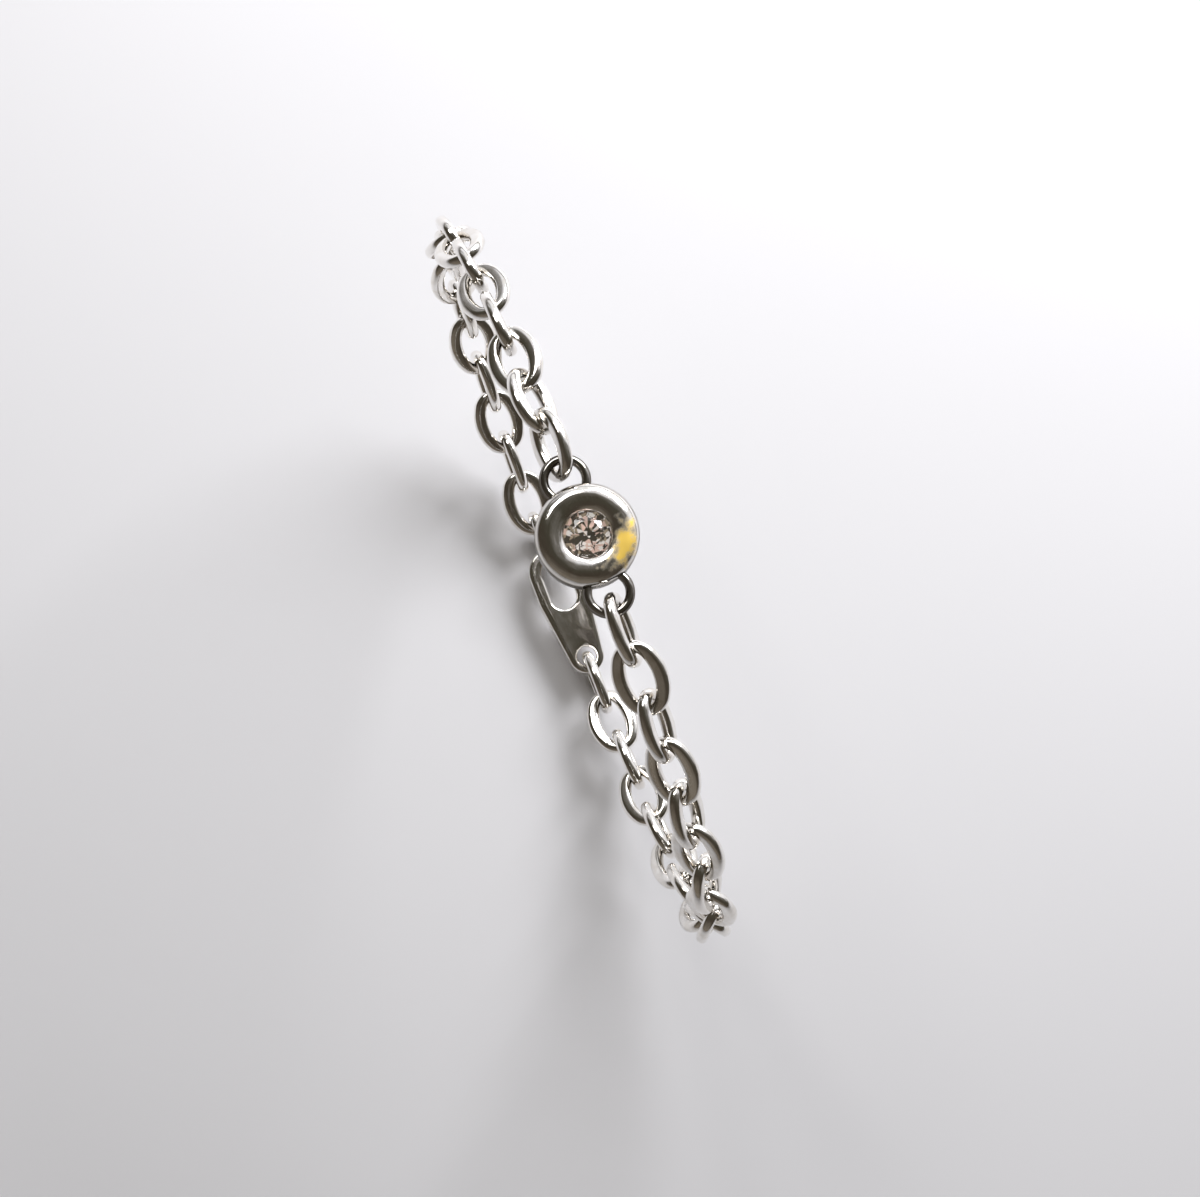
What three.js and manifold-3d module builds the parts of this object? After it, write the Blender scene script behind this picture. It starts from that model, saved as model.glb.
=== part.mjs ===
// Cable chain bracelet with a round stone-set disc, in the oval form it takes on a wrist.
// Millimetres, +Z up. The wrist runs along X through the origin and the disc faces +Z.
import * as THREE from "three";
import { ConvexGeometry } from "three/addons/geometries/ConvexGeometry.js";
import { mergeVertices } from "three/addons/utils/BufferGeometryUtils.js";
import Module from "manifold-3d";

const wasm = await Module();
wasm.setup();

// Driving dimensions
const LOOP = { halfWidth: 33.4, halfDepth: 23.4 };
const LINK = { length: 6.7, width: 4.85, wire: 1.1, fullness: 2.3, gap: 0.15, pathSides: 14, perSide: 18 };
const DISC = {
  radius: 4.4, back: -1.65, backRounding: 0.35, edgeTop: 0.1, crest: 1.2, crestRadius: 3.2,
  sides: 40, outsideSteps: 7, insideSteps: 4,
};
const STONE = { radius: 2.05, girdleHeight: 0.35, girdleThickness: 0.12, crown: 0.6, pavilion: 1.55 };
const CUT = { mains: 8, tableShare: 0.57, starShare: 0.8, lowerShare: 0.3 };
const SEAT = { clearance: 0.15, lipRadius: 2.0, lipHeight: 0.66 };
const LUG = { standoff: 0.7, holeRadius: 1.4, wire: 0.8, height: 1.0, gap: 0.3 };
const CLASP = {
  gap: 0.35, eyeRadius: 0.95, eyeWall: 0.8, slotHalfWidth: 1.3, slotLength: 5.2, clawWall: 1.25,
  flatThickness: 0.9, rounding: 0.25,
};

const SILVER = { color: 0xd9d6d0, roughness: 0.15, metalness: 1 };
const CRYSTAL = { color: 0xf2ebe6, roughness: 0.05, metalness: 0 };

// Link twists in degrees, counted from the disc: 0 lies flat on the wrist, 90 stands on edge.
const LOWER_TWISTS = [112, 22, 125, 38, 130, 42, 132, 45];
const UPPER_TWISTS = [62, 132, 20, 98, 15, 102];
const CLASP_TWIST = 90;

const RIGHT_ANGLE = 90;
const radians = THREE.MathUtils.degToRad;

// The oval centre line of the chain, in the YZ plane, measured from the disc towards -Y.
const QUARTER_TURN = Math.PI / 2;
const FULL_TURN = Math.PI * 2;
const loop = new THREE.EllipseCurve(
  0, 0, LOOP.halfWidth, LOOP.halfDepth, QUARTER_TURN, QUARTER_TURN + FULL_TURN);
loop.arcLengthDivisions = 2000;
const loopLength = loop.getLength();

// Places along the loop, measured from the disc
const insideEnd = LINK.length / 2 - LINK.wire;
const pitch = insideEnd * 2 - LINK.gap;
const lugCentre = DISC.radius + LUG.standoff;
const lugReach = lugCentre + LUG.holeRadius;
const firstLink = lugReach - LUG.gap + insideEnd;
const lastLink = firstLink + (LINK.perSide - 1) * pitch;
const claspReach = loopLength / 2 - lastLink - insideEnd + CLASP.gap;

// How far below the top of the loop a link's straight axis runs, at a reach short of its centre.
function axisDrop(along, reach) {
  const centre = loop.getPointAt(along / loopLength);
  const heading = loop.getTangentAt(along / loopLength);
  return LOOP.halfDepth - centre.y + (reach + centre.x) * heading.y / heading.x;
}

const lugDrop = axisDrop(firstLink, lugReach);
const claspDrop = axisDrop(claspReach - CLASP.gap + insideEnd, claspReach);

// Sets a piece on the loop with its X along the chain and its Y turned by the twist
// from the wrist's axis towards the outside of the loop.
function setOnLoop(mesh, along, twistDegrees) {
  const share = (along / loopLength + 1) % 1;
  const place = loop.getPointAt(share);
  const heading = loop.getTangentAt(share);
  const chain = new THREE.Vector3(0, heading.x, heading.y);
  const wrist = new THREE.Vector3(1, 0, 0);
  const outward = new THREE.Vector3().crossVectors(chain, wrist);
  const twist = radians(twistDegrees);
  const across = wrist.multiplyScalar(Math.cos(twist)).addScaledVector(outward, Math.sin(twist));
  const normal = new THREE.Vector3().crossVectors(chain, across);
  mesh.quaternion.setFromRotationMatrix(new THREE.Matrix4().makeBasis(chain, across, normal));
  mesh.position.set(0, place.x, place.y);
  return mesh;
}

function namedMesh(name, geometry, finish) {
  const mesh = new THREE.Mesh(geometry, new THREE.MeshStandardMaterial(finish));
  mesh.name = name;
  return mesh;
}

// Solid booleans
function toSolid(geometry) {
  const bare = geometry.clone();
  bare.deleteAttribute("normal");
  bare.deleteAttribute("uv");
  const merged = mergeVertices(bare, 1e-5);
  const vertProperties = new Float32Array(merged.attributes.position.array);
  const triVerts = new Uint32Array(merged.index.array);
  return new wasm.Manifold(new wasm.Mesh({ numProp: 3, vertProperties, triVerts }));
}

function toGeometry(solid) {
  const mesh = solid.getMesh();
  const geometry = new THREE.BufferGeometry();
  geometry.setAttribute("position", new THREE.BufferAttribute(mesh.vertProperties, 3));
  geometry.setIndex(new THREE.BufferAttribute(mesh.triVerts, 1));
  geometry.computeVertexNormals();
  return geometry;
}

// A full oval in XY, a little squarer than an ellipse, that starts halfway along one long side.
class FullOval extends THREE.Curve {
  constructor(halfLength, halfWidth) {
    super();
    this.halfLength = halfLength;
    this.halfWidth = halfWidth;
  }

  getPoint(share, target = new THREE.Vector3()) {
    const turn = QUARTER_TURN + share * FULL_TURN;
    const fill = (value) => Math.sign(value) * Math.abs(value) ** (2 / LINK.fullness);
    return target.set(this.halfLength * fill(Math.cos(turn)), this.halfWidth * fill(Math.sin(turn)), 0);
  }
}

// An oval ring of six-sided wire, lying in XY with its length along X and a flat side at each end.
function linkGeometry() {
  const wireSides = 6;
  const cornerRadius = LINK.wire / 2 / Math.cos(Math.PI / wireSides);
  const oval = new FullOval((LINK.length - LINK.wire) / 2, (LINK.width - LINK.wire) / 2);
  const ring = new THREE.TubeGeometry(oval, LINK.pathSides, cornerRadius, wireSides, true);
  ring.computeBoundingBox();
  const size = ring.boundingBox.getSize(new THREE.Vector3());
  return ring.scale(LINK.length / size.x, LINK.width / size.y, LINK.wire / size.z);
}

// Heights of the stone's edges, which its seat follows
const girdleTop = STONE.girdleHeight + STONE.girdleThickness / 2;
const girdleBottom = STONE.girdleHeight - STONE.girdleThickness / 2;
const tableHeight = girdleTop + STONE.crown;
const culetHeight = girdleBottom - STONE.pavilion;

// A quarter of an ellipse in (radius, height) about a centre, from one turn to another.
function profileArc(centre, halfWidth, halfHeight, startTurn, endTurn, steps) {
  const arc = new THREE.EllipseCurve(
    centre.r, centre.z, halfWidth, halfHeight, startTurn, endTurn, false);
  return arc.getPoints(steps).map((point) => [point.x, point.y]);
}

// The domed disc with its blind seat, turned about Z.
function discGeometry() {
  const seatRadius = STONE.radius + SEAT.clearance;
  const outside = profileArc(
    { r: DISC.crestRadius, z: DISC.edgeTop },
    DISC.radius - DISC.crestRadius, DISC.crest - DISC.edgeTop, 0, QUARTER_TURN, DISC.outsideSteps);
  const inside = profileArc(
    { r: DISC.crestRadius, z: SEAT.lipHeight },
    DISC.crestRadius - SEAT.lipRadius, DISC.crest - SEAT.lipHeight,
    QUARTER_TURN, 2 * QUARTER_TURN, DISC.insideSteps);
  const profile = [
    [0, DISC.back],
    [DISC.radius - DISC.backRounding, DISC.back],
    [DISC.radius, DISC.back + DISC.backRounding],
    ...outside,
    ...inside.slice(1),
    [seatRadius, girdleTop + SEAT.clearance],
    [seatRadius, girdleBottom],
    [0, culetHeight - SEAT.clearance],
  ];
  const points = profile.map(([r, z]) => new THREE.Vector2(r, z));
  return new THREE.LatheGeometry(points, DISC.sides).rotateX(QUARTER_TURN);
}

// One half-ring lug, whose hole takes the end of the first link.
function lugGeometry(side) {
  const wireSides = 8;
  const ringSides = 20;
  const ringRadius = LUG.holeRadius + LUG.wire / 2;
  const ring = new THREE.TorusGeometry(ringRadius, LUG.wire / 2, wireSides, ringSides);
  return ring.scale(1, 1, LUG.height / LUG.wire).translate(0, side * lugCentre, -lugDrop);
}

function settingGeometry() {
  const disc = toSolid(discGeometry());
  const lugs = [-1, 1].map((side) => toSolid(lugGeometry(side)));
  return toGeometry(lugs.reduce((whole, lug) => whole.add(lug), disc));
}

// A round brilliant: table, stars, mains and halves on the crown, mains and halves below.
function stoneGeometry() {
  const step = FULL_TURN / CUT.mains;
  const tableRadius = STONE.radius * CUT.tableShare;
  const starRadius = STONE.radius * CUT.starShare;
  const lowerRadius = STONE.radius * CUT.lowerShare;
  const crownSlope = STONE.crown / (STONE.radius - tableRadius);
  const pavilionSlope = STONE.pavilion / STONE.radius;
  const inMain = Math.cos(step / 2);
  const starHeight = girdleTop + (STONE.radius - starRadius * inMain) * crownSlope;
  const lowerHeight = culetHeight + lowerRadius * inMain * pavilionSlope;
  const corners = [new THREE.Vector3(0, 0, culetHeight)];
  const addCorner = (r, turn, z) => corners.push(
    new THREE.Vector3(r * Math.cos(turn), r * Math.sin(turn), z));
  for (let main = 0; main < CUT.mains; main += 1) {
    const turn = main * step;
    const between = turn + step / 2;
    addCorner(tableRadius, turn, tableHeight);
    addCorner(starRadius, between, starHeight);
    addCorner(lowerRadius, between, lowerHeight);
    for (const girdleTurn of [turn, between]) {
      addCorner(STONE.radius, girdleTurn, girdleTop);
      addCorner(STONE.radius, girdleTurn, girdleBottom);
    }
  }
  return new ConvexGeometry(corners);
}

// A plain closed clasp with an eye at one end and a long slot at the other, lying in XY.
function claspGeometry() {
  const { rounding } = CLASP;
  const eyeX = CLASP.eyeRadius - claspReach;
  const slotEndX = claspReach - CLASP.slotHalfWidth;
  const slotStartX = claspReach - CLASP.slotLength + CLASP.slotHalfWidth;
  const eyeOuter = CLASP.eyeRadius + CLASP.eyeWall - rounding;
  const clawOuter = CLASP.slotHalfWidth + CLASP.clawWall - rounding;
  const shoulder = (slotStartX - eyeX) / 2;
  const outline = new THREE.Shape();
  outline.absarc(slotEndX, 0, clawOuter, -QUARTER_TURN, QUARTER_TURN, false);
  outline.lineTo(slotStartX, clawOuter);
  outline.bezierCurveTo(
    slotStartX - shoulder, clawOuter, eyeX + shoulder, eyeOuter, eyeX, eyeOuter);
  outline.absarc(eyeX, 0, eyeOuter, QUARTER_TURN, 3 * QUARTER_TURN, false);
  outline.bezierCurveTo(
    eyeX + shoulder, -eyeOuter, slotStartX - shoulder, -clawOuter, slotStartX, -clawOuter);
  outline.closePath();
  const eye = new THREE.Path();
  eye.absarc(eyeX, 0, CLASP.eyeRadius + rounding, 0, FULL_TURN, true);
  const slot = new THREE.Path();
  const slotRadius = CLASP.slotHalfWidth + rounding;
  slot.absarc(slotEndX, 0, slotRadius, QUARTER_TURN, -QUARTER_TURN, true);
  slot.lineTo(slotStartX, -slotRadius);
  slot.absarc(slotStartX, 0, slotRadius, -QUARTER_TURN, -3 * QUARTER_TURN, true);
  slot.closePath();
  outline.holes.push(eye, slot);
  const body = new THREE.ExtrudeGeometry(outline, {
    depth: CLASP.flatThickness, curveSegments: 8,
    bevelEnabled: true, bevelThickness: rounding, bevelSize: rounding, bevelSegments: 2,
  });
  return body.translate(0, 0, -CLASP.flatThickness / 2);
}

// The twist of each link on one side: the laid ones first, then an even turn to the clasp.
function twistOf(count, laidTwists) {
  if (count <= laidTwists.length) {
    return laidTwists[count - 1];
  }
  const lastLaid = laidTwists[laidTwists.length - 1];
  const share = (count - laidTwists.length) / (LINK.perSide - laidTwists.length);
  const quarterTurns = (count - laidTwists.length) % 2;
  return THREE.MathUtils.lerp(lastLaid, CLASP_TWIST, share) + quarterTurns * RIGHT_ANGLE;
}

const bracelet = new THREE.Group();
bracelet.name = "chain_bracelet";

const head = new THREE.Group();
head.name = "head";
head.position.set(0, 0, LOOP.halfDepth);
head.add(namedMesh("setting", settingGeometry(), SILVER));
head.add(namedMesh("stone", stoneGeometry(), CRYSTAL));
bracelet.add(head);

const chainSides = [
  { name: "lower", direction: 1, twists: LOWER_TWISTS },
  { name: "upper", direction: -1, twists: UPPER_TWISTS },
];
for (const { name, direction, twists } of chainSides) {
  for (let count = 1; count <= LINK.perSide; count += 1) {
    const link = namedMesh(`link_${name}_${String(count).padStart(2, "0")}`, linkGeometry(), SILVER);
    const along = direction * (firstLink + (count - 1) * pitch);
    bracelet.add(setOnLoop(link, along, twistOf(count, twists)));
  }
}

const clasp = setOnLoop(namedMesh("clasp", claspGeometry(), SILVER), loopLength / 2, 0);
clasp.position.z += claspDrop;
bracelet.add(clasp);

export default bracelet;
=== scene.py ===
import math

import bmesh
import bpy
import numpy as np
from bpy.props import FloatProperty, FloatVectorProperty, IntProperty, PointerProperty
from bpy.types import Operator, Panel, PropertyGroup
from mathutils import Matrix, Vector


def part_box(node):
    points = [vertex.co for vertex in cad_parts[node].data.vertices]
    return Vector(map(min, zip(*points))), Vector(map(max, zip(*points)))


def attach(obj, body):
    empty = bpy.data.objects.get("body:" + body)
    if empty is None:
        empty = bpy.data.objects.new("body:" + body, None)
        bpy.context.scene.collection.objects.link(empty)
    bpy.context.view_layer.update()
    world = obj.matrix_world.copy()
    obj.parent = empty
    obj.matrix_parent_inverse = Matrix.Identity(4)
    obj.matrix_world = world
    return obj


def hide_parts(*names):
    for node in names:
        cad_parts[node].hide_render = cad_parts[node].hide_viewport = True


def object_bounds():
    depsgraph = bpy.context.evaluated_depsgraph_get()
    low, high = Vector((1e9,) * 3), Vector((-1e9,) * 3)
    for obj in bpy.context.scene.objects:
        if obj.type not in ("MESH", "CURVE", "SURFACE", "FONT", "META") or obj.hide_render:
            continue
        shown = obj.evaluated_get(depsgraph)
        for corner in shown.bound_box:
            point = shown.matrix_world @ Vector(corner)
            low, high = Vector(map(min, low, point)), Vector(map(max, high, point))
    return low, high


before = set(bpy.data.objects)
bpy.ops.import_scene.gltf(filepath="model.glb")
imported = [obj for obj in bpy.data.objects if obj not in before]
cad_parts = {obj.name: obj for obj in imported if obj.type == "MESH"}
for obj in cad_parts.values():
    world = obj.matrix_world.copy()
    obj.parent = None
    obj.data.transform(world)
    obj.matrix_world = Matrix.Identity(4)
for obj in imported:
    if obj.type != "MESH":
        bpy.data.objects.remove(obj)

CAD_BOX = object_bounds()

bl_info = {
    "name": "Chain bracelet",
    "version": (1, 0, 0),
    "blender": (4, 5, 0),
    "location": "3D View > Sidebar > Bracelet",
    "description": "Models a cable chain bracelet with a stone-set disc over its packed frame",
    "category": "Object",
}

BODY = "root"
QUARTER_TURN = math.pi / 2
FULL_TURN = 2 * math.pi
LINK_NODES = sorted(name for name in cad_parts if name.startswith("link_"))
SETTING_LOW, SETTING_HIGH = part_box("setting")
STONE_LOW, STONE_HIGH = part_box("stone")
CLASP_LOW, CLASP_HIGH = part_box("clasp")

# Fineness of the meshes
MERGE_DISTANCE = 1e-7
SWEEP_STEPS = 12
CORNER_STEPS = 6
DISC_SIDES = 128
DOME_STEPS = 18
LIP_STEPS = 14
ROUNDING_STEPS = 5
LUG_SIDES = 72
LUG_WIRE_SIDES = 24
STONE_SIDES = 96
CLASP_SIDES = 64
FLAT_ANGLE = math.radians(0.5)
LINK_CREASE = math.radians(50)
DISC_CREASE = math.radians(42)
CLASP_CREASE = math.radians(35)


def length(name, description, default):
    """A size in metres."""
    return FloatProperty(
        name=name, description=description, default=default, unit="LENGTH", precision=5)


def share(name, description, default):
    """A plain factor from 0 to 1."""
    return FloatProperty(
        name=name, description=description, default=default, min=0.0, max=1.0, subtype="FACTOR")


def colour(name, description, default):
    """A linear colour."""
    return FloatVectorProperty(
        name=name, description=description, default=default, size=3, min=0.0, max=1.0, subtype="COLOR")


def angle(name, description, degrees):
    """An angle, given in degrees and kept in radians."""
    return FloatProperty(
        name=name, description=description, default=math.radians(degrees), subtype="ANGLE")


class LinkSizes(PropertyGroup):
    """Sizes of one oval link."""

    long_side: length("Length", "Outside length of a link", 0.0067)
    short_side: length("Width", "Outside width of a link", 0.00485)
    wire: length("Wire", "Thickness of the link's wire", 0.00106)
    side_wire: length("Side wire", "Width of the wire along the link's sides", 0.0013)
    end_radius: length("End radius", "Radius of the wire's middle round each end", 0.00158)
    corner: share("Corner", "How much of the wire's thickness each rounded corner takes", 0.48)
    fullness: share("Fullness", "How square the rounded corners are, from round at 0.5", 0.53)


class DiscSizes(PropertyGroup):
    """Sizes of the domed disc and its lugs."""

    edge_height: length("Edge height", "Height of the straight edge above the back", 0.00175)
    back_rounding: length("Back rounding", "Rounding of the edge of the back", 0.00035)
    crest_radius: length("Crest radius", "Radius at which the dome is highest", 0.0032)
    lip_radius: length("Lip radius", "Radius of the lip that holds the stone", 0.0020)
    lip_drop: length("Lip drop", "Depth of the lip below the crest", 0.00054)
    seat_clearance: length("Seat clearance", "Room between the stone and its seat", 0.00012)
    lug_wire: length("Lug wire", "Thickness of a lug's ring seen from above", 0.0008)
    lug_height: length("Lug height", "Height of a lug's ring", 0.0010)
    lug_hole: length("Lug hole", "Radius of the hole in a lug", 0.0014)


class StoneCut(PropertyGroup):
    """Proportions of the round brilliant."""

    mains: IntProperty(name="Mains", description="Main facets round the crown", default=8, min=6)
    table: share("Table", "Radius of the table's corners as a share of the stone's", 0.57)
    star: share("Star", "Radius of the stars' outer corners as a share of the stone's", 0.8)
    lower: share("Lower", "Radius at which the lower halves end, as a share of the stone's", 0.3)
    crown: length("Crown", "Height of the crown above the girdle", 0.0006)
    girdle: length("Girdle", "Thickness of the girdle", 0.00012)


class ClaspSizes(PropertyGroup):
    """Sizes of the plain clasp."""

    eye_hole: length("Eye hole", "Radius of the hole in the eye", 0.00095)
    eye_wall: length("Eye wall", "Thickness of the wall round the eye", 0.0008)
    slot_width: length("Slot width", "Width of the long slot", 0.0026)
    slot_length: length("Slot length", "Length of the long slot", 0.0052)
    rounding: length("Rounding", "Rounding of every edge", 0.00028)


class SilverFinish(PropertyGroup):
    """Look of the polished silver."""

    clean: colour("Clean silver", "Colour of freshly rubbed silver", (0.90, 0.88, 0.85))
    toned: colour("Toned silver", "Colour of silver that has toned with wear", (0.76, 0.72, 0.66))
    gloss: share("Gloss", "Roughness where the polish is best", 0.05)
    haze: share("Haze", "Roughness where the polish is worn", 0.13)
    swell_depth: length("Swell depth", "Depth of the swells left by polishing", 0.00012)
    link_swell: share("Link swell", "Strength of the swells on the links", 0.4)
    disc_swell: share("Disc swell", "Strength of the swells on the disc", 1.0)
    clasp_swell: share("Clasp swell", "Strength of the swells on the clasp", 0.3)
    scratch_depth: length("Scratch depth", "Depth of the scratches", 0.00001)
    scratch_strength: share("Scratches", "Strength of the scratches", 0.15)


class DiscShadeAndPatch(PropertyGroup):
    """Painted shade low on the disc's wall, painted shade on its edge reflections, and a golden patch on
    its dome.
    """

    # Painted shade: a dark colour laid low on the disc's wall, standing in for shade that the wall would
    # mirror.
    painted_wall_shade: colour("Dulled", "Colour of the silver low on the disc's wall", (0.19, 0.175, 0.155))
    # Heights over the back between which the painted wall shade fades out.
    bright_above: length("Bright above", "Height over the back where the wall turns bright", 0.0021)
    shade_below: length("Dull below", "Height over the back where the wall is all dull", 0.0015)
    # Painted shade: a dark tint on the disc's edge reflections, so its wall mirrors little light.
    edge_reflection_shade: colour("Edge tone", "Share of light mirrored along the wall", (0.26, 0.245, 0.225))
    golden: colour("Golden", "Colour of the golden patch", (1.0, 0.69, 0.14))
    golden_haze: share("Golden haze", "Roughness of the golden patch", 0.38)
    golden_metal: share("Golden metal", "How metallic the golden patch is", 0.25)
    bearing: angle("Bearing", "Direction of the patch's middle from the stone", -38)
    spread: angle("Spread", "Reach of the patch to each side of its bearing", 50)
    middle: length("Middle", "Distance of the patch's middle from the stone's axis", 0.0033)
    reach: length("Reach", "Reach of the patch across the dome from its middle", 0.0012)
    depth: length("Depth", "Reach of the patch down the dome from its crest", 0.0016)
    ragged: FloatProperty(
        name="Ragged", description="How far breaks eat into the patch, in its own reach", default=1.5)


class StoneFinish(PropertyGroup):
    """Look of the stone: tones painted on its lower facets as sparkle and shade, and a painted glow."""

    # Painted reflections: clear, blush, champagne and shade are tones painted on the lower facets as
    # bright, pink, yellowish and dark sparkle; clear is also the colour of the crown glass.
    clear: colour("Clear", "Colour of the brightest facets", (0.97, 0.95, 0.93))
    painted_blush_sparkle: colour("Blush", "Pink tone of some facets", (0.80, 0.60, 0.52))
    painted_champagne_sparkle: colour("Champagne", "Yellowish tone of some facets", (0.40, 0.34, 0.25))
    shade: colour("Shade", "Tone of the facets that stay dark", (0.07, 0.063, 0.05))
    # Painted light: the lower facets glow by emission, though they are no lamp.
    painted_facet_light: share("Glow", "Light that the lower facets give back from all round", 0.42)
    mirror: share("Mirror", "How metallic the lower facets are", 0.6)
    mirror_haze: share("Mirror haze", "Roughness of the lower facets", 0.22)
    film: share("Film", "Roughness of the scratches on the upper facets", 0.03)
    bend: FloatProperty(name="Bend", description="Index of refraction", default=1.76, min=1.0, max=3.0)


class StudioLook(PropertyGroup):
    """Floor and camera."""

    floor: colour("Floor", "Colour of the floor", (0.79, 0.785, 0.80))
    floor_dim: share("Floor dim", "Brightness of the floor's dimmest clouds", 0.96)
    floor_matt: share("Floor matt", "Roughness of the floor", 0.9)
    floor_size: length("Floor size", "Length of the floor's sides", 3.0)
    lens: FloatProperty(name="Lens", description="Focal length in millimetres", default=85.1, min=10.0)
    distance: length("Distance", "Distance of the camera from the point it looks at", 0.26)
    nearest: length("Nearest", "Distance at which the camera begins to see", 0.01)
    tilt: angle("Tilt", "Lean of the view towards the lower side of the chain", 6.9)
    side: angle("Side", "Turn of the view along the wrist", -5.2)
    roll: angle("Roll", "Turn of the camera about its view", -20.65)
    aim: FloatVectorProperty(
        name="Aim", description="Point that the camera looks at", default=(0.00125, -0.00249, -0.0002),
        size=3, unit="LENGTH", precision=5)


# Modelling helpers

def deselect_all():
    """Leave no object selected."""
    bpy.ops.object.select_all(action="DESELECT")


def pick(piece):
    """Select one piece alone."""
    deselect_all()
    piece.select_set(True)
    bpy.context.view_layer.objects.active = piece


def edit(piece):
    """Enter edit mode on one piece with all of it selected."""
    pick(piece)
    bpy.ops.object.mode_set(mode="EDIT")
    bpy.ops.mesh.select_all(action="SELECT")


def select_where(wanted):
    """In edit mode, select only the corners whose place in the mesh is wanted."""
    piece = bpy.context.edit_object
    bpy.ops.mesh.select_mode(type="VERT")
    bpy.ops.mesh.select_all(action="DESELECT")
    mesh = bmesh.from_edit_mesh(piece.data)
    for vertex in mesh.verts:
        vertex.select = wanted(vertex.co)
    mesh.select_flush_mode()
    bmesh.update_edit_mesh(piece.data)


def leave_edit():
    """Go back to object mode."""
    bpy.ops.object.mode_set(mode="OBJECT")


def started(name):
    """Name the primitive that was just added."""
    piece = bpy.context.active_object
    piece.name = name
    piece.data.name = name
    return piece


def close_up(piece):
    """Merge doubled corners and turn the faces outwards."""
    edit(piece)
    bpy.ops.mesh.remove_doubles(threshold=MERGE_DISTANCE)
    bpy.ops.mesh.normals_make_consistent(inside=False)
    leave_edit()


def put_in_place(piece):
    """Move the object's place into its mesh."""
    pick(piece)
    bpy.ops.object.transform_apply(location=True, rotation=True, scale=True)


def smooth(piece, crease):
    """Shade a piece smooth except along edges sharper than the crease angle."""
    pick(piece)
    bpy.ops.object.shade_smooth_by_angle(angle=crease)


def combine(piece, tool, operation):
    """Join a tool piece to a piece, or cut it out, and remove the tool."""
    modifier = piece.modifiers.new(operation.title(), "BOOLEAN")
    modifier.object = tool
    modifier.operation = operation
    modifier.solver = "EXACT"
    pick(piece)
    bpy.ops.object.modifier_apply(modifier=modifier.name)
    bpy.data.objects.remove(tool, do_unlink=True)


def stands_for(piece, node, material):
    """Give a finished piece its material and its place in the frame."""
    piece.data.materials.clear()
    piece.data.materials.append(material)
    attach(piece, BODY)
    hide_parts(node)


def arc(centre, half_width, half_height, start, end, steps):
    """Points (radius, height) along part of an ellipse, without its first point."""
    turns = [start + (end - start) * step / steps for step in range(1, steps + 1)]
    return [
        (centre[0] + half_width * math.cos(turn), centre[1] + half_height * math.sin(turn))
        for turn in turns]


# Links

def link_place(node):
    """Turn and place of a link, read from its solid: X along it, Y across it."""
    corners = np.array([vertex.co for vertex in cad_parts[node].data.vertices])
    middle = (corners.min(axis=0) + corners.max(axis=0)) / 2
    _, axes = np.linalg.eigh(np.cov((corners - corners.mean(axis=0)).T))
    along = Vector(axes[:, 2])
    across = Vector(axes[:, 1])
    turn = Matrix((along, across, along.cross(across))).transposed()
    return Matrix.Translation(Vector(middle)) @ turn.to_4x4()


def model_link(size):
    """One link lying flat about the origin, swept from a soft square wire round a four-arc oval."""
    half_length = (size.long_side - size.wire) / 2
    half_width = (size.short_side - size.wire) / 2
    end_centre = half_length - size.end_radius
    rise = half_width - size.end_radius
    side_centre = (end_centre ** 2 - rise ** 2) / (2 * rise)
    end_turn = math.atan2(side_centre, end_centre)
    side_turn = math.pi - 2 * end_turn
    deselect_all()
    bpy.ops.mesh.primitive_plane_add(
        size=size.wire, location=(half_length, 0, 0), rotation=(QUARTER_TURN, 0, 0))
    link = started("link")
    edit(link)
    bpy.ops.mesh.bevel(
        offset=size.wire * size.corner, segments=CORNER_STEPS, profile=size.fullness,
        affect="VERTICES")
    bpy.ops.mesh.delete(type="ONLY_FACE")
    select_where(lambda place: place.x < 0)
    bpy.ops.object.vertex_group_add()
    bpy.ops.object.vertex_group_assign()
    bpy.ops.mesh.select_all(action="SELECT")
    sweeps = [
        ((end_centre, 0, 0), end_turn, SWEEP_STEPS),
        ((0, -side_centre, 0), side_turn, SWEEP_STEPS),
        ((-end_centre, 0, 0), 2 * end_turn, 2 * SWEEP_STEPS),
        ((0, side_centre, 0), side_turn, SWEEP_STEPS),
        ((end_centre, 0, 0), end_turn, SWEEP_STEPS),
    ]
    for centre, turn, count in sweeps:
        bpy.ops.mesh.spin(steps=count, angle=turn, center=centre, axis=(0, 0, -1))
    leave_edit()
    put_in_place(link)
    close_up(link)
    edit(link)
    bpy.ops.mesh.select_all(action="DESELECT")
    bpy.ops.object.vertex_group_select()
    hole_share = (size.short_side / 2 - size.side_wire) / (size.short_side / 2 - size.wire)
    bpy.ops.transform.resize(value=(1, hole_share, 1), center_override=(0, 0, 0))
    leave_edit()
    link.vertex_groups.clear()
    return link


class BRACELET_OT_links(Operator):
    """Model one link and lay a copy of it at every link of the frame"""

    bl_idname = "bracelet.links"
    bl_label = "Links"

    def execute(self, context):
        pattern = model_link(context.scene.bracelet_link)
        finish = context.scene.bracelet_silver
        material = silver("link silver", finish, finish.link_swell)
        for node in LINK_NODES:
            link = bpy.data.objects.new("fine_" + node, pattern.data.copy())
            context.scene.collection.objects.link(link)
            link.data.transform(link_place(node))
            smooth(link, LINK_CREASE)
            stands_for(link, node, material)
        bpy.data.objects.remove(pattern, do_unlink=True)
        return {"FINISHED"}


# Setting

def raise_rings(profile, radius):
    """Draw the selected round face along a profile of (radius, height), ring by ring."""
    mesh = bmesh.from_edit_mesh(bpy.context.edit_object.data)
    height = max(vertex.co.z for vertex in mesh.verts if vertex.select)
    for next_radius, next_height in profile:
        bpy.ops.mesh.extrude_region_move(
            TRANSFORM_OT_translate={"value": (0, 0, next_height - height)})
        ratio = next_radius / radius
        bpy.ops.transform.resize(value=(ratio, ratio, 1), center_override=(0, 0, next_height))
        radius, height = next_radius, next_height


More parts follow.
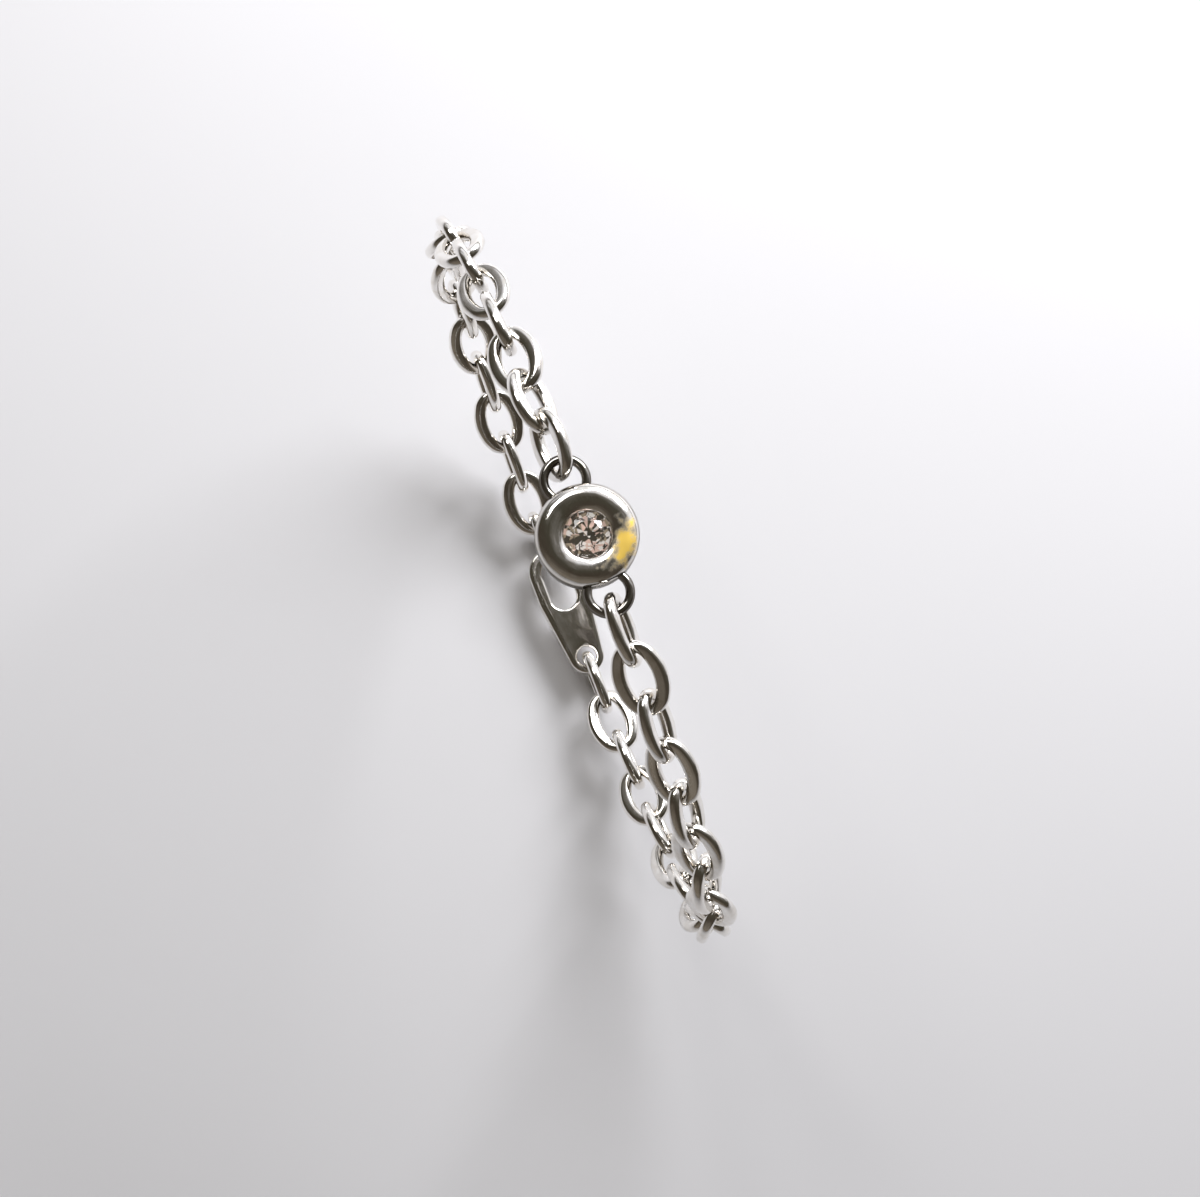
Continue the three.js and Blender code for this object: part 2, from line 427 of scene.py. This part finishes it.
def disc_profile(size, cut):
    """Rings from the back up over the dome and down into the stone's seat."""
    radius = SETTING_HIGH.x
    back, crest = SETTING_LOW.z, SETTING_HIGH.z
    edge_top = back + size.edge_height
    lip = crest - size.lip_drop
    girdle_top = STONE_HIGH.z - cut.crown
    seat_radius = STONE_HIGH.x + size.seat_clearance
    rounding = size.back_rounding
    rings = arc(
        (radius - rounding, back + rounding), rounding, rounding, -QUARTER_TURN, 0,
        ROUNDING_STEPS)
    rings.append((radius, edge_top))
    rings += arc(
        (size.crest_radius, edge_top), radius - size.crest_radius, crest - edge_top,
        0, QUARTER_TURN, DOME_STEPS)
    rings += arc(
        (size.crest_radius, lip), size.crest_radius - size.lip_radius, size.lip_drop,
        QUARTER_TURN, math.pi, LIP_STEPS)
    rings.append((seat_radius, girdle_top + size.seat_clearance))
    rings.append((seat_radius, girdle_top - cut.girdle))
    rings.append((size.seat_clearance, STONE_LOW.z - size.seat_clearance / 2))
    return rings


def model_disc(size, cut):
    """The domed disc, raised ring by ring from its round back."""
    back_radius = SETTING_HIGH.x - size.back_rounding
    deselect_all()
    bpy.ops.mesh.primitive_circle_add(
        vertices=DISC_SIDES, radius=back_radius, fill_type="NGON", location=(0, 0, SETTING_LOW.z))
    disc = started("fine_setting")
    put_in_place(disc)
    edit(disc)
    raise_rings(disc_profile(size, cut), back_radius)
    leave_edit()
    close_up(disc)
    return disc


def model_lug(size, side):
    """A soldered half ring, whose height meets the axis of the first link."""
    reach = SETTING_HIGH.y - size.lug_wire
    centre_y = reach - size.lug_hole
    first = link_place("link_lower_01")
    middle = first.translation
    along = first.to_3x3().col[0]
    height = middle.z + along.z / along.y * (-reach - middle.y)
    place = (0, side * centre_y, height)
    deselect_all()
    bpy.ops.mesh.primitive_torus_add(
        major_radius=size.lug_hole + size.lug_wire / 2, minor_radius=size.lug_wire / 2,
        major_segments=LUG_SIDES, minor_segments=LUG_WIRE_SIDES, location=place)
    lug = started("lug")
    put_in_place(lug)
    edit(lug)
    tallness = size.lug_height / size.lug_wire
    bpy.ops.transform.resize(value=(1, 1, tallness), center_override=place)
    leave_edit()
    return lug


class BRACELET_OT_setting(Operator):
    """Model the domed disc with its two soldered lugs"""

    bl_idname = "bracelet.setting"
    bl_label = "Setting"

    def execute(self, context):
        size = context.scene.bracelet_disc
        disc = model_disc(size, context.scene.bracelet_stone)
        for side in (-1, 1):
            combine(disc, model_lug(size, side), "UNION")
        close_up(disc)
        smooth(disc, DISC_CREASE)
        finish = context.scene.bracelet_silver
        material = silver("disc silver", finish, finish.disc_swell)
        # Painted shade low on the disc's wall and on its edge reflections, and the golden patch.
        shade_and_patch_disc(material, context.scene.bracelet_wear)
        stands_for(disc, "setting", material)
        return {"FINISHED"}


# Stone

FACET_SPARKLE_TONE = "facet_sparkle_tone"
GOLDEN_SHARE = (math.sqrt(5) - 1) / 2
BLANK_SPARE = 1.1
LOWER_FACING = -0.1


def polar(radius, turn, height):
    """The point at a radius and a turn round the stone's axis."""
    return Vector((radius * math.cos(turn), radius * math.sin(turn), height))


def facet_planes(cut):
    """Point and outward normal of every facet, from the corners that it runs through."""
    radius = STONE_HIGH.x
    table_height, culet_height = STONE_HIGH.z, STONE_LOW.z
    girdle_top = table_height - cut.crown
    girdle_bottom = girdle_top - cut.girdle
    step = FULL_TURN / cut.mains
    table_radius = radius * cut.table
    star_radius = radius * cut.star
    lower_radius = radius * cut.lower
    in_main = math.cos(step / 2)
    crown_slope = cut.crown / (radius - table_radius)
    pavilion_slope = (girdle_bottom - culet_height) / radius
    star_height = girdle_top + (radius - star_radius * in_main) * crown_slope
    lower_height = culet_height + lower_radius * in_main * pavilion_slope
    culet = Vector((0, 0, culet_height))
    facets = []
    for main in range(cut.mains):
        turn = main * step
        before, after = turn - step / 2, turn + step / 2
        star_before = polar(star_radius, before, star_height)
        star_after = polar(star_radius, after, star_height)
        table_here = polar(table_radius, turn, table_height)
        table_next = polar(table_radius, turn + step, table_height)
        girdle_here = polar(radius, turn, girdle_top)
        girdle_after = polar(radius, after, girdle_top)
        girdle_before = polar(radius, before, girdle_top)
        below_here = polar(radius, turn, girdle_bottom)
        below_after = polar(radius, after, girdle_bottom)
        below_before = polar(radius, before, girdle_bottom)
        lower_after = polar(lower_radius, after, lower_height)
        lower_before = polar(lower_radius, before, lower_height)
        facets += [
            (table_here, star_before, star_after),
            (table_here, star_after, table_next),
            (star_after, girdle_here, girdle_after),
            (star_before, girdle_before, girdle_here),
            (culet, lower_after, lower_before),
            (lower_after, below_after, below_here),
            (lower_before, below_here, below_before),
        ]
    middle = Vector((0, 0, (girdle_top + girdle_bottom) / 2))
    planes = [(Vector((0, 0, table_height)), Vector((0, 0, 1)))]
    for first, second, third in facets:
        normal = (second - first).cross(third - first).normalized()
        if normal.dot(first - middle) < 0:
            normal.negate()
        planes.append((first, normal))
    return planes


def model_stone(cut):
    """Grind a round blank to a brilliant, one facet at a time."""
    deselect_all()
    bpy.ops.mesh.primitive_cylinder_add(
        vertices=STONE_SIDES, radius=STONE_HIGH.x, depth=(STONE_HIGH.z - STONE_LOW.z) * BLANK_SPARE,
        location=(0, 0, (STONE_HIGH.z + STONE_LOW.z) / 2))
    stone = started("fine_stone")
    put_in_place(stone)
    for point, normal in facet_planes(cut):
        edit(stone)
        bpy.ops.mesh.bisect(
            plane_co=point, plane_no=normal, use_fill=True, clear_outer=True,
            threshold=MERGE_DISTANCE)
        leave_edit()
    close_up(stone)
    return stone


class BRACELET_OT_stone(Operator):
    """Cut the round brilliant"""

    bl_idname = "bracelet.stone"
    bl_label = "Stone"

    def execute(self, context):
        finish = context.scene.bracelet_stone_finish
        stone = model_stone(context.scene.bracelet_stone)
        stands_for(stone, "stone", crown_glass("crown glass", finish))
        # The lower facets get the painted sparkle and painted glow.
        stone.data.materials.append(painted_facet_sparkle("facet mirrors", finish))
        # Each facet gets a number that picks its painted sparkle tone.
        tones = stone.data.attributes.new(FACET_SPARKLE_TONE, "FLOAT", "FACE")
        for facet, tone in zip(stone.data.polygons, tones.data):
            facet.material_index = 1 if facet.normal.z < LOWER_FACING else 0
            tone.value = facet.index * GOLDEN_SHARE % 1.0
        return {"FINISHED"}


# Clasp

def hull_of_rounds(name, rounds, depth):
    """A plate whose outline is drawn tight round discs of (place along Y, radius)."""
    middle_z = (CLASP_LOW.z + CLASP_HIGH.z) / 2
    deselect_all()
    plates = []
    for place, radius in rounds:
        bpy.ops.mesh.primitive_cylinder_add(
            vertices=CLASP_SIDES, radius=radius, depth=depth, location=(0, place, middle_z))
        plates.append(started(name))
    for plate in plates:
        plate.select_set(True)
    bpy.context.view_layer.objects.active = plates[0]
    if len(plates) > 1:
        bpy.ops.object.join()
    plate = bpy.context.active_object
    put_in_place(plate)
    edit(plate)
    bpy.ops.mesh.convex_hull()
    bpy.ops.mesh.select_all(action="SELECT")
    bpy.ops.mesh.dissolve_limited(angle_limit=FLAT_ANGLE)
    leave_edit()
    return plate


def model_clasp(size):
    """A teardrop plate with an eye at one end and a long slot at the other."""
    thickness = CLASP_HIGH.z - CLASP_LOW.z
    claw_radius = CLASP_HIGH.x
    claw_wall = claw_radius - size.slot_width / 2
    eye_radius = size.eye_hole + size.eye_wall
    eye_y = CLASP_LOW.y + eye_radius
    slot_end = CLASP_HIGH.y - claw_radius
    slot_start = CLASP_HIGH.y - claw_wall - size.slot_length + size.slot_width / 2
    outline = [(slot_end, claw_radius), (slot_start, claw_radius), (eye_y, eye_radius)]
    clasp = hull_of_rounds("fine_clasp", outline, thickness)
    through = thickness * 2
    slot = [(slot_end, size.slot_width / 2), (slot_start, size.slot_width / 2)]
    combine(clasp, hull_of_rounds("slot_tool", slot, through), "DIFFERENCE")
    combine(clasp, hull_of_rounds("eye_tool", [(eye_y, size.eye_hole)], through), "DIFFERENCE")
    bevel = clasp.modifiers.new("Bevel", "BEVEL")
    bevel.width = size.rounding
    bevel.segments = ROUNDING_STEPS
    bevel.limit_method = "ANGLE"
    bpy.context.view_layer.objects.active = clasp
    bpy.ops.object.modifier_apply(modifier=bevel.name)
    close_up(clasp)
    return clasp


class BRACELET_OT_clasp(Operator):
    """Model the plain closed clasp"""

    bl_idname = "bracelet.clasp"
    bl_label = "Clasp"

    def execute(self, context):
        clasp = model_clasp(context.scene.bracelet_clasp)
        smooth(clasp, CLASP_CREASE)
        finish = context.scene.bracelet_silver
        material = silver("clasp silver", finish, finish.clasp_swell)
        stands_for(clasp, "clasp", material)
        return {"FINISHED"}


# Materials

def feed(tree, node, values):
    """Set a node's inputs to plain values, or link them to sockets."""
    for name, value in values.items():
        if isinstance(value, bpy.types.NodeSocket):
            tree.links.new(value, node.inputs[name])
        else:
            node.inputs[name].default_value = value


def add_node(tree, kind, values, **settings):
    """A new node with its settings made and its inputs fed."""
    node = tree.nodes.new(kind)
    for setting, choice in settings.items():
        setattr(node, setting, choice)
    feed(tree, node, values)
    return node


def calculate(tree, operation, *values):
    """Result of a Math node that is fed by sockets and plain numbers."""
    node = add_node(tree, "ShaderNodeMath", dict(enumerate(values)), operation=operation)
    return node.outputs["Value"]


def rescale(tree, value, start, end, low=0.0, high=1.0):
    """A value taken from one range to another and held within it."""
    node = add_node(tree, "ShaderNodeMapRange", {
        "Value": value, "From Min": start, "From Max": end, "To Min": low, "To Max": high})
    return node.outputs["Result"]


def mix(tree, mask, first, second, kind="FLOAT"):
    """The first value where a mask is 0 and the second where it is 1."""
    values = {"Factor": mask, "A": first, "B": second}
    return add_node(tree, "ShaderNodeMix", values, data_type=kind).outputs["Result"]


def opaque(tone):
    """A colour with full cover."""
    return (*tone, 1)


def object_place(tree):
    """The place on the object, in its own coordinates."""
    return tree.nodes.new("ShaderNodeTexCoord").outputs["Object"]


def fill_ramp(ramp, stops):
    """Set a colour ramp to stops of (position, colour)."""
    elements = ramp.color_ramp.elements
    while len(elements) < len(stops):
        elements.new(1.0)
    for element, (position, shade) in zip(elements, stops):
        element.position = position
        element.color = opaque(shade)


def node_group(name, inputs, outputs):
    """An empty shader group with named value sockets."""
    tree = bpy.data.node_groups.new(name, "ShaderNodeTree")
    for socket, default in inputs.items():
        made = tree.interface.new_socket(socket, in_out="INPUT", socket_type="NodeSocketFloat")
        made.default_value = default
    for socket in outputs:
        tree.interface.new_socket(socket, in_out="OUTPUT", socket_type="NodeSocketFloat")
    return tree, tree.nodes.new("NodeGroupInput"), tree.nodes.new("NodeGroupOutput")


def shader_of(name):
    """A new node material and its Principled shader."""
    material = bpy.data.materials.new(name)
    material.use_nodes = True
    return material, material.node_tree, material.node_tree.nodes["Principled BSDF"]


HAND_POLISH = "Hand polish"
SCRATCH_TURNS = [(0.4, 0.2, 0.9), (1.3, -0.7, 0.1)]
SCRATCH_STRETCH = (6.0, 0.35, 6.0)


def hand_polish():
    """Group: swells left by hand polishing, smudges from wear and fine crossing scratches."""
    if HAND_POLISH in bpy.data.node_groups:
        return bpy.data.node_groups[HAND_POLISH]
    scales = {"Swell Scale": 450.0, "Smudge Scale": 700.0, "Scratch Scale": 2500.0}
    tree, given, result = node_group(HAND_POLISH, scales, ["Swell", "Smudge", "Scratch"])
    place = object_place(tree)
    swell = add_node(tree, "ShaderNodeTexNoise", {
        "Vector": place, "Scale": given.outputs["Swell Scale"], "Detail": 1.0})
    smudge = add_node(tree, "ShaderNodeTexNoise", {
        "Vector": place, "Scale": given.outputs["Smudge Scale"],
        "Detail": 5.0, "Roughness": 0.6, "Distortion": 0.8})
    streaks = []
    for turn in SCRATCH_TURNS:
        stretch = add_node(tree, "ShaderNodeMapping", {
            "Vector": place, "Rotation": turn, "Scale": SCRATCH_STRETCH})
        streak = add_node(tree, "ShaderNodeTexNoise", {
            "Vector": stretch.outputs["Vector"], "Scale": given.outputs["Scratch Scale"],
            "Detail": 2.0})
        streaks.append(streak.outputs["Fac"])
    crossing = calculate(tree, "MAXIMUM", *streaks)
    feed(tree, result, {
        "Swell": swell.outputs["Fac"],
        "Smudge": rescale(tree, smudge.outputs["Fac"], start=0.42, end=0.72),
        "Scratch": rescale(tree, crossing, start=0.58, end=0.72)})
    return tree


def silver(name, finish, swell):
    """Polished silver: toned and hazed in patches, faintly scratched and slightly uneven."""
    material, tree, shader = shader_of(name)
    polish = add_node(tree, "ShaderNodeGroup", {}, node_tree=hand_polish()).outputs
    worn = calculate(tree, "MAXIMUM", polish["Smudge"], polish["Scratch"])
    uneven = add_node(tree, "ShaderNodeBump", {
        "Strength": swell, "Distance": finish.swell_depth, "Height": polish["Swell"]})
    scored = add_node(tree, "ShaderNodeBump", {
        "Strength": finish.scratch_strength, "Distance": finish.scratch_depth,
        "Height": polish["Scratch"], "Normal": uneven.outputs["Normal"]}, invert=True)
    feed(tree, shader, {
        "Metallic": 1.0,
        "Base Color": mix(tree, polish["Smudge"], opaque(finish.clean), opaque(finish.toned), "RGBA"),
        "Roughness": rescale(tree, worn, 0.0, 1.0, finish.gloss, finish.haze),
        "Normal": scored.outputs["Normal"]})
    return material


def golden_patch(wear):
    """Group: mask of an oval bent round the stone, with a broken edge."""
    tree, _, result = node_group("Golden patch", {}, ["Mask"])
    place = object_place(tree)
    turned = add_node(tree, "ShaderNodeMapping", {"Vector": place, "Rotation": (0, 0, -wear.bearing)})
    x, y, z = add_node(tree, "ShaderNodeSeparateXYZ", {"Vector": turned.outputs["Vector"]}).outputs
    squares = calculate(tree, "MULTIPLY_ADD", x, x, calculate(tree, "MULTIPLY", y, y))
    radius = calculate(tree, "SQRT", squares)
    offsets = {
        "X": (calculate(tree, "ARCTAN2", y, x), wear.spread),
        "Y": (calculate(tree, "SUBTRACT", radius, wear.middle), wear.reach),
        "Z": (calculate(tree, "SUBTRACT", z, SETTING_HIGH.z), wear.depth),
    }
    together = add_node(tree, "ShaderNodeCombineXYZ", {
        axis: calculate(tree, "DIVIDE", *offset) for axis, offset in offsets.items()})
    way_out = add_node(tree, "ShaderNodeVectorMath", {0: together.outputs["Vector"]}, operation="LENGTH")
    breaks = add_node(tree, "ShaderNodeTexNoise", {"Vector": place, "Scale": 1100.0, "Detail": 3.0})
    edge = calculate(
        tree, "MULTIPLY_ADD", breaks.outputs["Fac"], wear.ragged, way_out.outputs["Value"])
    feed(tree, result, {"Mask": rescale(tree, edge, start=1.7, end=1.15)})
    return tree


def shade_and_patch_disc(material, wear):
    """Paint shade low on the disc's wall of a silver material, darken its edge reflections as painted
    shade, and lay the golden patch over its dome.
    """
    tree = material.node_tree
    shader = tree.nodes["Principled BSDF"]
    bare_tone = shader.inputs["Base Color"].links[0].from_socket
    bare_haze = shader.inputs["Roughness"].links[0].from_socket
    mask = add_node(tree, "ShaderNodeGroup", {}, node_tree=golden_patch(wear)).outputs["Mask"]
    height = add_node(tree, "ShaderNodeSeparateXYZ", {"Vector": object_place(tree)}).outputs["Z"]
    # Mask of the painted shade, full low on the wall and fading out higher up.
    bright_height = SETTING_LOW.z + wear.bright_above
    shade_height = SETTING_LOW.z + wear.shade_below
    low = rescale(tree, height, bright_height, shade_height)
    tinted = mix(tree, mask, bare_tone, opaque(wear.golden), "RGBA")
    # Base Color takes the golden patch and the painted wall shade; Specular Tint paints shade into the
    # edge reflections.
    feed(tree, shader, {
        "Base Color": mix(tree, low, tinted, opaque(wear.painted_wall_shade), "RGBA"),
        "Roughness": mix(tree, mask, bare_haze, wear.golden_haze),
        "Metallic": rescale(tree, mask, 0.0, 1.0, 1.0, wear.golden_metal),
        "Specular Tint": opaque(wear.edge_reflection_shade)})


def crown_glass(name, finish):
    """Clear upper facets with the faintest film of wear."""
    material, tree, shader = shader_of(name)
    polish = add_node(tree, "ShaderNodeGroup", {}, node_tree=hand_polish()).outputs
    feed(tree, shader, {
        "Base Color": opaque(finish.clear),
        "Transmission Weight": 1.0,
        "IOR": finish.bend,
        "Roughness": rescale(tree, polish["Scratch"], 0.0, 1.0, 0.0, finish.film)})
    return material


def painted_facet_sparkle(name, finish):
    """Painted sparkle: lower facets painted in shards, each in its own bright, tinted or dark tone as a
    painted reflection, with a painted glow.
    """
    material, tree, shader = shader_of(name)
    shards = add_node(tree, "ShaderNodeTexVoronoi", {"Vector": object_place(tree), "Scale": 1900.0})
    shard = add_node(tree, "ShaderNodeSeparateColor", {"Color": shards.outputs["Color"]})
    facet = add_node(tree, "ShaderNodeAttribute", {}, attribute_name=FACET_SPARKLE_TONE)
    mixed = calculate(tree, "ADD", facet.outputs["Fac"], shard.outputs["Red"])
    ramp = add_node(tree, "ShaderNodeValToRGB", {"Fac": calculate(tree, "FRACT", mixed)})
    ramp.color_ramp.interpolation = "CONSTANT"
    # Painted sparkle tones: four of the seven are dark, as painted shade.
    shades = [
        finish.shade, finish.painted_champagne_sparkle, finish.shade, finish.clear,
        finish.shade, finish.painted_blush_sparkle, finish.shade]
    fill_ramp(ramp, [(index / len(shades), shade) for index, shade in enumerate(shades)])
    # Emission paints light into the facets' tones, though they are no lamp.
    feed(tree, shader, {
        "Metallic": finish.mirror,
        "Roughness": finish.mirror_haze,
        "Base Color": ramp.outputs["Color"],
        "Emission Color": ramp.outputs["Color"],
        "Emission Strength": finish.painted_facet_light})
    return material


def floor_paint(name, look):
    """Matt pale floor with a barely visible unevenness."""
    material, tree, shader = shader_of(name)
    cloud = add_node(tree, "ShaderNodeTexNoise", {"Vector": object_place(tree), "Scale": 12.0})
    dim = [channel * look.floor_dim for channel in look.floor]
    feed(tree, shader, {
        "Base Color": mix(tree, cloud.outputs["Fac"], opaque(dim), opaque(look.floor), "RGBA"),
        "Roughness": look.floor_matt})
    return material


# Stage

LIGHTS = [
    {
        "name": "window", "place": (0.21, 0.18, 0.15), "aim": (0.01, 0.01, 0),
        "width": 0.20, "height": 0.13, "watts": 1.35, "tint": (0.965, 0.97, 1.0),
    },
    {
        "name": "high_card", "place": (-0.015, 0.175, 0.20), "aim": (0, 0, 0.02),
        "width": 0.13, "height": 0.08, "watts": 0.20, "tint": (1.0, 0.99, 0.98),
    },
]
WINDOW_SIDE = Vector((0.68, 0.72, 0.12))
SKY_UNEVEN = 0.35
SKY_SHADES = [
    # share of the way round to the window, colour
    (0.0, (0.19, 0.165, 0.135)),
    (0.35, (0.055, 0.045, 0.034)),
    (0.60, (0.060, 0.055, 0.041)),
    (0.76, (0.15, 0.14, 0.125)),
    (0.86, (0.90, 0.90, 0.93)),
    (1.0, (1.0, 1.0, 1.0)),
]


def add_floor(look):
    """A wide plain floor under the lowest link."""
    deselect_all()
    bpy.ops.mesh.primitive_plane_add(size=look.floor_size, location=(0, 0, CAD_BOX[0].z))
    floor = started("floor")
    put_in_place(floor)
    floor.data.materials.append(floor_paint("floor paint", look))


def add_light(name, place, aim, width, height, watts, tint):
    """A soft rectangular light at a place, turned to its aim."""
    deselect_all()
    bpy.ops.object.light_add(type="AREA", location=place)
    lamp = bpy.context.active_object
    lamp.name = name
    lamp.rotation_euler = (Vector(aim) - Vector(place)).to_track_quat("-Z", "Y").to_euler()
    lamp.data.shape = "RECTANGLE"
    lamp.data.size = width
    lamp.data.size_y = height
    lamp.data.energy = watts
    lamp.data.color = tint


def add_sky():
    """Soft surroundings: pale on the window's side, dim and warm overhead and opposite."""
    world = bpy.data.worlds.new("studio")
    bpy.context.scene.world = world
    world.use_nodes = True
    tree = world.node_tree
    heading = tree.nodes.new("ShaderNodeTexCoord").outputs["Generated"]
    facing = add_node(tree, "ShaderNodeVectorMath", {
        0: heading, 1: WINDOW_SIDE.normalized()}, operation="DOT_PRODUCT")
    patches = add_node(tree, "ShaderNodeTexNoise", {"Vector": heading, "Scale": 2.6, "Detail": 2.0})
    uneven = rescale(tree, patches.outputs["Fac"], 0.0, 1.0, -SKY_UNEVEN, SKY_UNEVEN)
    total = calculate(tree, "ADD", facing.outputs["Value"], uneven)
    ramp = add_node(tree, "ShaderNodeValToRGB", {"Fac": rescale(tree, total, -1.0, 1.0)})
    fill_ramp(ramp, SKY_SHADES)
    feed(tree, tree.nodes["Background"], {"Color": ramp.outputs["Color"]})


def add_camera(look):
    """The camera that sees the bracelet from the photo's angle."""
    turn = (
        Matrix.Rotation(look.tilt, 3, "X")
        @ Matrix.Rotation(look.side, 3, "Y")
        @ Matrix.Rotation(look.roll, 3, "Z"))
    away = turn @ Vector((0, 0, look.distance))
    deselect_all()
    bpy.ops.object.camera_add(location=Vector(look.aim) + away, rotation=turn.to_euler())
    camera = bpy.context.active_object
    camera.name = "photo_camera"
    camera.data.lens = look.lens
    camera.data.clip_start = look.nearest
    bpy.context.scene.camera = camera


class BRACELET_OT_stage(Operator):
    """Set the floor, the lights and the camera"""

    bl_idname = "bracelet.stage"
    bl_label = "Stage"

    def execute(self, context):
        look = context.scene.bracelet_studio
        add_floor(look)
        for light in LIGHTS:
            add_light(**light)
        add_sky()
        add_camera(look)
        context.scene.view_settings.view_transform = "Standard"
        return {"FINISHED"}


class BRACELET_PT_pieces(Panel):
    """Lists the pieces of the bracelet"""

    bl_idname = "BRACELET_PT_pieces"
    bl_label = "Chain bracelet"
    bl_space_type = "VIEW_3D"
    bl_region_type = "UI"
    bl_category = "Bracelet"

    def draw(self, context):
        for operator in OPERATORS:
            self.layout.operator(operator.bl_idname)


OPERATORS = [
    BRACELET_OT_setting,
    BRACELET_OT_stone,
    BRACELET_OT_links,
    BRACELET_OT_clasp,
    BRACELET_OT_stage,
]
GROUPS = {
    "bracelet_link": LinkSizes,
    "bracelet_disc": DiscSizes,
    "bracelet_stone": StoneCut,
    "bracelet_clasp": ClaspSizes,
    "bracelet_silver": SilverFinish,
    "bracelet_wear": DiscShadeAndPatch,
    "bracelet_stone_finish": StoneFinish,
    "bracelet_studio": StudioLook,
}


def register():
    for name, group in GROUPS.items():
        bpy.utils.register_class(group)
        setattr(bpy.types.Scene, name, PointerProperty(type=group))
    for made in [*OPERATORS, BRACELET_PT_pieces]:
        bpy.utils.register_class(made)


def unregister():
    for made in [BRACELET_PT_pieces, *reversed(OPERATORS)]:
        bpy.utils.unregister_class(made)
    for name, group in GROUPS.items():
        delattr(bpy.types.Scene, name)
        bpy.utils.unregister_class(group)


def main():
    register()
    bpy.ops.bracelet.setting()
    bpy.ops.bracelet.stone()
    bpy.ops.bracelet.links()
    bpy.ops.bracelet.clasp()
    bpy.ops.bracelet.stage()
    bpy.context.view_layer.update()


if __name__ == "__main__":
    main()
